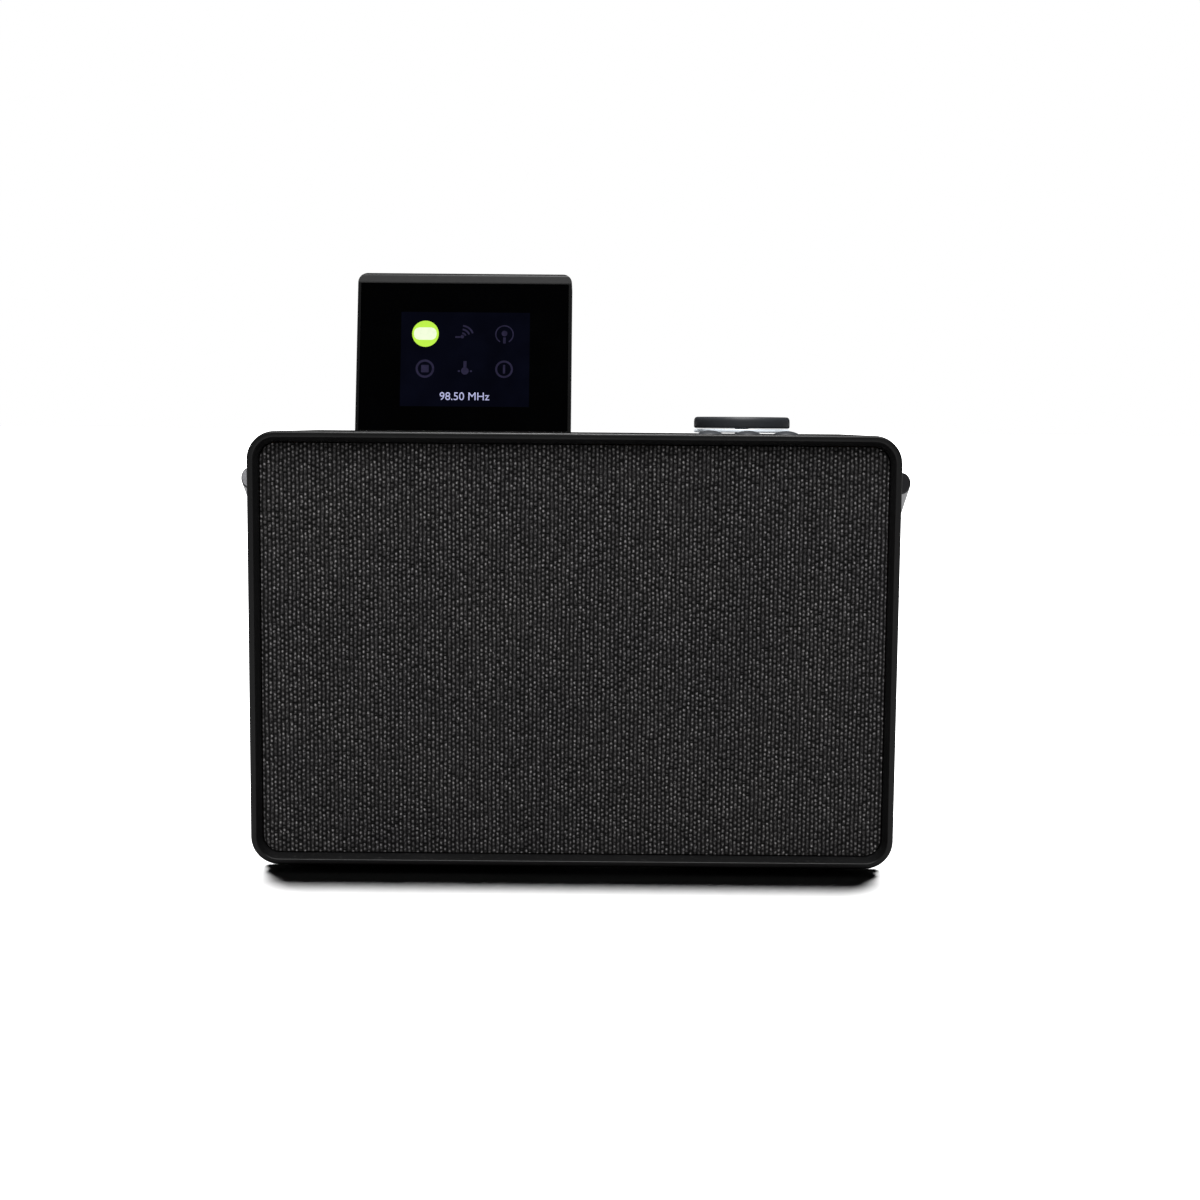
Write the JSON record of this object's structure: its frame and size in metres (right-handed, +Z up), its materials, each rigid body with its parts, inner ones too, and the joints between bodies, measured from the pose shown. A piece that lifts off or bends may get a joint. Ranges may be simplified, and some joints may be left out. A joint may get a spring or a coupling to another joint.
{
  "type": "tabletop radio",
  "caption": "Tabletop radio with rounded cabinet, cloth front, display that folds up from the top, rotary knob, push buttons, swinging bar handle and rod aerial.",
  "frame": {"origin": "centre of the bounding box seen from above, on the plane that the feet stand on", "axes": "+X to the right seen from the front, along the longest side; +Y to the back; +Z up"},
  "size_m": [0.2856, 0.1212, 0.2513],
  "materials": {
    "cabinet": "satin black",
    "trim": "satin black",
    "rear_plastic": "fine texture, black",
    "cloth": "charcoal plain weave",
    "frame_plastic": "black",
    "baffle_wood": "fibreboard",
    "driver_steel": "black",
    "driver_magnet": "grey",
    "cone_paper": "black pulp",
    "glass": "gloss, black backed",
    "lcd": "dark screen",
    "circuit": "green solder mask",
    "chrome": "polished",
    "steel": "zinc plated",
    "handle": "satin",
    "rubber": "matt black",
    "battery": "shrink sleeve"
  },
  "bodies": {
    "cabinet": {"front_bezel": "trim", "cabinet_shell": "cabinet", "rear_cover": "rear_plastic", "grille_cloth": "cloth", "grille_frame": "frame_plastic", "speaker_baffle": "baffle_wood", "bass_port": "frame_plastic", "display_well": "frame_plastic", "display_hinge_pin_left": "steel", "display_hinge_pin_right": "steel", "encoder_body": "steel", "control_board": "circuit", "aerial_mount": "steel", "main_board": "circuit", "radio_module": "steel", "socket_panel": "frame_plastic", "power_inlet": "frame_plastic", "line_in_socket": "frame_plastic", "battery_bay": "rear_plastic", "battery_pack": "battery", "speaker_basket_left": "driver_steel", "speaker_magnet_left": "driver_magnet", "handle_pivot_left": "steel", "handle_washer_left": "rubber", "rear_screw_lower_left": "steel", "rear_screw_upper_left": "steel", "foot_front_left": "rubber", "foot_back_left": "rubber", "speaker_basket_right": "driver_steel", "speaker_magnet_right": "driver_magnet", "handle_pivot_right": "steel", "handle_washer_right": "rubber", "rear_screw_lower_right": "steel", "rear_screw_upper_right": "steel", "foot_front_right": "rubber", "foot_back_right": "rubber", "button_switch_left": "frame_plastic", "button_switch_middle": "frame_plastic", "button_switch_right": "frame_plastic"},
    "display": {"display_lid": "trim", "display_glass": "glass", "lcd_module": "lcd", "display_board": "circuit"},
    "knob_plunger": {"encoder_shaft": "steel"},
    "knob": {"knob_cap": "trim", "knob_ring": "chrome"},
    "button_left": {"button_left": "trim"},
    "button_middle": {"button_middle": "trim"},
    "button_right": {"button_right": "trim"},
    "handle": {"handle_bar": "handle", "handle_grip": "rubber"},
    "aerial_swivel": {"aerial_knuckle": "chrome"},
    "aerial_rod": {"aerial_root": "chrome"},
    "aerial_lower": {"aerial_section_lower": "chrome"},
    "aerial_middle": {"aerial_section_middle": "chrome"},
    "aerial_end": {"aerial_tip": "chrome"},
    "battery_door": {"battery_door": "rear_plastic"},
    "cone_left": {"speaker_cone_left": "cone_paper"},
    "cone_right": {"speaker_cone_right": "cone_paper"}
  },
  "joints": [
    {"name": "display_tilt", "type": "hinge", "parent": "cabinet", "child": "display", "pos_m": [-0.0514, 0.02945, 0.174], "axis": [1, 0, 0], "range_deg": [0, 101.3]},
    {"name": "knob_push", "type": "slide", "parent": "cabinet", "child": "knob_plunger", "axis": [0, 0, -1], "range_m": [0, 0.0005], "stiffness_N_per_m": 3000, "springref_m": -0.0005},
    {"name": "knob_turn", "type": "hinge", "parent": "knob_plunger", "child": "knob", "pos_m": [0.0707, -0.01055, 0.182], "axis": [0, 0, 1], "continuous": true},
    {"name": "button_push_left", "type": "slide", "parent": "cabinet", "child": "button_left", "axis": [0, 0, -1], "range_m": [0, 0.0012], "stiffness_N_per_m": 500, "springref_m": -0.0005},
    {"name": "button_push_middle", "type": "slide", "parent": "cabinet", "child": "button_middle", "axis": [0, 0, -1], "range_m": [0, 0.0012], "stiffness_N_per_m": 500, "springref_m": -0.0005},
    {"name": "button_push_right", "type": "slide", "parent": "cabinet", "child": "button_right", "axis": [0, 0, -1], "range_m": [0, 0.0012], "stiffness_N_per_m": 500, "springref_m": -0.0005},
    {"name": "handle_swing", "type": "hinge", "parent": "cabinet", "child": "handle", "pos_m": [0, -0.00707, 0.1545], "axis": [1, 0, 0], "range_deg": [0, 150]},
    {"name": "aerial_turn", "type": "hinge", "parent": "cabinet", "child": "aerial_swivel", "pos_m": [0.108, 0.04745, 0.16], "axis": [0, 1, 0], "range_deg": [0, 180]},
    {"name": "aerial_fold", "type": "hinge", "parent": "aerial_swivel", "child": "aerial_rod", "pos_m": [0.099, 0.05445, 0.16], "axis": [0, 0, -1], "range_deg": [0, 90]},
    {"name": "aerial_slide_lower", "type": "slide", "parent": "aerial_rod", "child": "aerial_lower", "axis": [-1, 0, 0], "range_m": [0, 0.12]},
    {"name": "aerial_slide_middle", "type": "slide", "parent": "aerial_lower", "child": "aerial_middle", "axis": [-1, 0, 0], "range_m": [0, 0.12]},
    {"name": "aerial_slide_end", "type": "slide", "parent": "aerial_middle", "child": "aerial_end", "axis": [-1, 0, 0], "range_m": [0, 0.12]},
    {"name": "battery_door_swing", "type": "hinge", "parent": "cabinet", "child": "battery_door", "pos_m": [-0.1094, 0.04355, 0.109], "axis": [0, 0, 1], "range_deg": [0, 100]},
    {"name": "cone_travel_left", "type": "slide", "parent": "cabinet", "child": "cone_left", "axis": [0, 1, 0], "range_m": [-0.001, 0.001], "stiffness_N_per_m": 1500},
    {"name": "cone_travel_right", "type": "slide", "parent": "cabinet", "child": "cone_right", "axis": [0, 1, 0], "range_m": [-0.001, 0.001], "stiffness_N_per_m": 1500}
  ]
}
